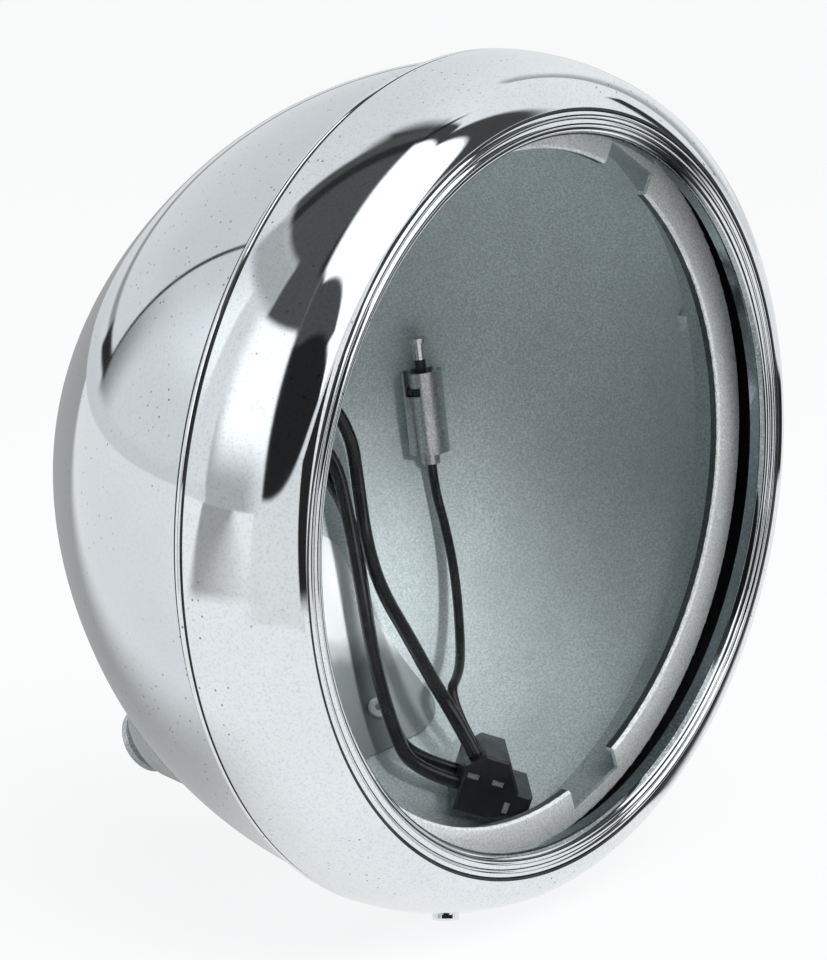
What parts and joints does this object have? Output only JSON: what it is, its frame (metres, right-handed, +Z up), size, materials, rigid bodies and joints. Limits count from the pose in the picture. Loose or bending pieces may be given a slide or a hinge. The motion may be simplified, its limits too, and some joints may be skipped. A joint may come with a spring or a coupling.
{
  "type": "motorcycle headlight shell",
  "caption": "Round chromed headlight shell with a trim ring, an inner lamp ring, a raked bottom mount and loose lamp wiring inside, open at the front to take a sealed lamp.",
  "frame": {"origin": "centre of the mounting face, at the mouth of the tapped hole under the bowl", "axes": "+Z up, +Y towards the back of the lamp, which looks along -Y, +X to the right seen from the front"},
  "size_m": [0.2004, 0.1368, 0.2005],
  "materials": {
    "shell_chrome": "polished",
    "ring_steel": "satin plated",
    "fastener_steel": "plated",
    "socket_steel": "bright plated",
    "contact_brass": "tinned",
    "black_plastic": "moulded",
    "black_rubber": "matt",
    "lead_cover": "soft vinyl"
  },
  "bodies": {
    "root": {"bowl_shell": "shell_chrome", "trim_ring": "shell_chrome", "lamp_ring": "ring_steel", "ring_screws": "fastener_steel", "ring_nuts": "fastener_steel", "trim_clip": "fastener_steel", "trim_screw": "shell_chrome", "mount_plate": "ring_steel", "plate_rivets": "fastener_steel", "mount_pedestal": "shell_chrome", "saddle_spacer": "fastener_steel", "lock_washer": "fastener_steel", "mount_bolt": "fastener_steel", "wire_grommet": "black_rubber", "plug_body": "black_plastic", "plug_terminals": "contact_brass", "pilot_barrel": "socket_steel", "pilot_plunger": "black_plastic", "pilot_contact": "contact_brass", "pilot_spring": "socket_steel", "low_beam_lead": "lead_cover", "high_beam_lead": "lead_cover", "ground_lead": "lead_cover", "pilot_lead": "lead_cover"}
  },
  "joints": []
}
